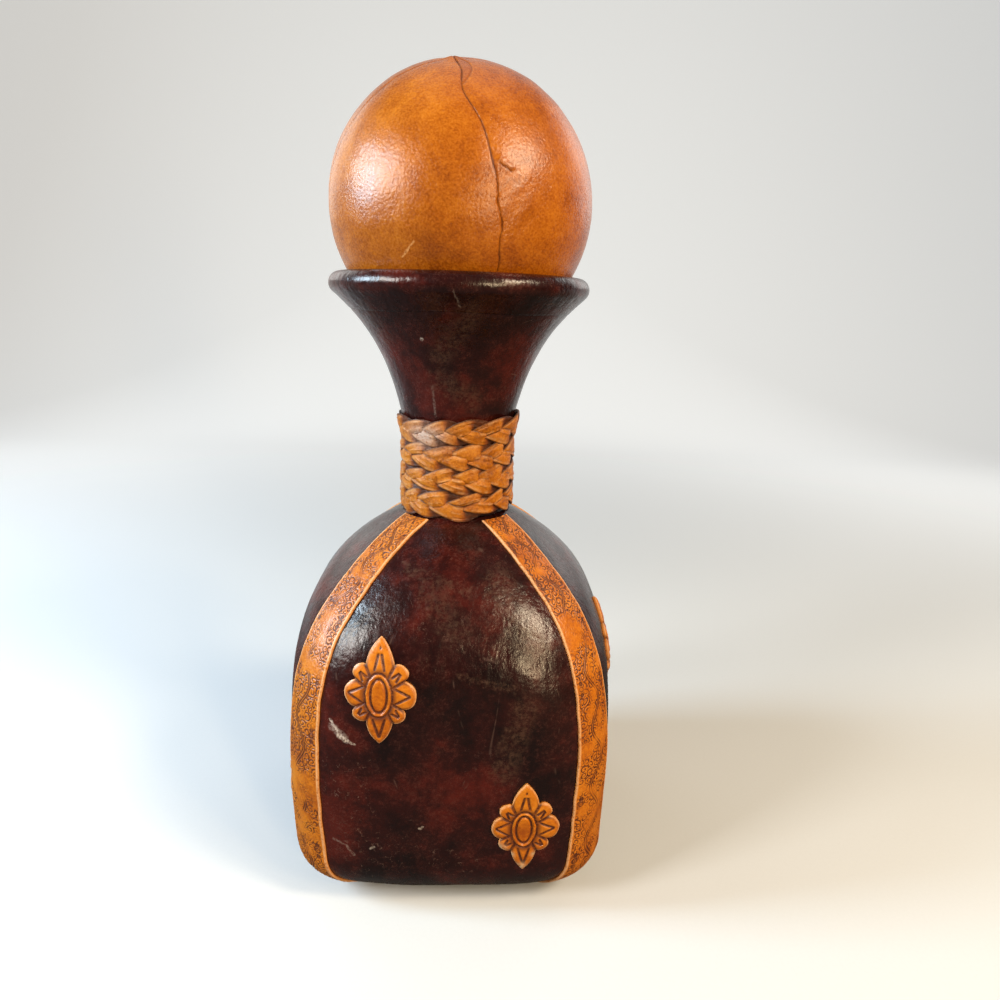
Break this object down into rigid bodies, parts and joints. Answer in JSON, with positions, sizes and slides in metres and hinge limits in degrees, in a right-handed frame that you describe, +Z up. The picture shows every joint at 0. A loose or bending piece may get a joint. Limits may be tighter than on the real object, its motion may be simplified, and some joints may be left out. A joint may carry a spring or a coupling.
{
  "type": "leather-wrapped decanter",
  "caption": "Square glass decanter dressed in dark leather, with tooled corner strips, embossed rosettes, a plaited neck collar, a flared mouth and a leather-covered ball stopper on a cork.",
  "frame": {"origin": "on the table under the middle of the base", "axes": "+Z up along the neck, -Y out of the front face, +X to the right of the front face"},
  "size_m": [0.1087, 0.1086, 0.2584],
  "materials": {
    "dark_leather": "polished, worn",
    "tan_leather": "tooled, antiqued",
    "ball_leather": "satin, mottled",
    "pad_leather": "suede side out",
    "glass": "clear, faint green",
    "wood": "plain turned",
    "cork": "natural cork"
  },
  "bodies": {
    "bottle": {"glass_bottle": "glass", "front_panel": "dark_leather", "right_panel": "dark_leather", "back_panel": "dark_leather", "left_panel": "dark_leather", "base_pad": "pad_leather", "corner_strip_front_left": "tan_leather", "corner_strip_front_right": "tan_leather", "corner_strip_back_right": "tan_leather", "corner_strip_back_left": "tan_leather", "front_upper_rosette": "tan_leather", "front_lower_rosette": "tan_leather", "right_upper_rosette": "tan_leather", "right_lower_rosette": "tan_leather", "back_upper_rosette": "tan_leather", "back_lower_rosette": "tan_leather", "left_upper_rosette": "tan_leather", "left_lower_rosette": "tan_leather", "neck_wrap": "dark_leather", "rim_binding": "dark_leather", "collar_lace_1": "tan_leather", "collar_lace_2": "tan_leather", "collar_lace_3": "tan_leather"},
    "stopper": {"ball_core": "wood", "ball_gore_1": "ball_leather", "ball_gore_2": "ball_leather", "ball_gore_3": "ball_leather", "ball_gore_4": "ball_leather", "stopper_stem": "wood", "cork": "cork"}
  },
  "joints": [
    {"name": "stopper_lift", "type": "slide", "parent": "bottle", "child": "stopper", "axis": [0, 0, 1], "range_m": [0, 0.09]}
  ]
}
